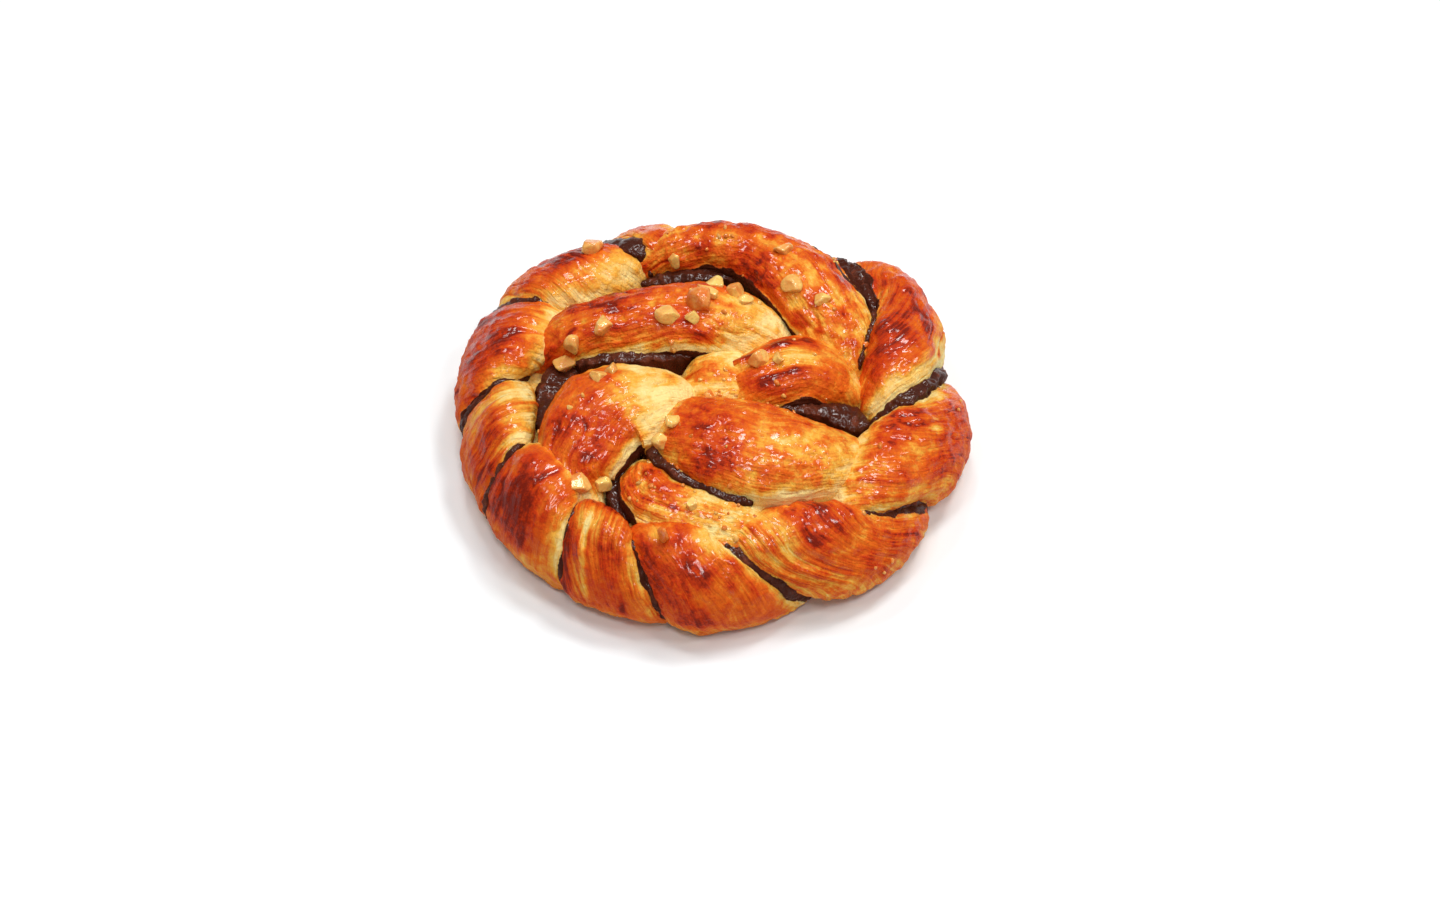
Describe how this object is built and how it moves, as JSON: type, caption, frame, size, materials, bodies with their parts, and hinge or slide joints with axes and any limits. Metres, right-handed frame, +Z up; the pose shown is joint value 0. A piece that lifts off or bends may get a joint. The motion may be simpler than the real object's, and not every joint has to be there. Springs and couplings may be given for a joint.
{
  "type": "chocolate knot bun",
  "caption": "Coiled knot bun of twisted laminated dough with chocolate filling in its grooves and chopped nuts baked on top.",
  "frame": {"origin": "centre of the outline in plan, on the flat underside", "axes": "+Z up through the coil, -Y towards the viewer of the picture"},
  "size_m": [0.1164, 0.113, 0.0344],
  "materials": {
    "baked_dough": "glazed golden-brown crust",
    "chocolate": "dark baked chocolate filling"
  },
  "bodies": {
    "root": {"dough": "baked_dough", "chocolate_filling": "chocolate"}
  },
  "joints": []
}
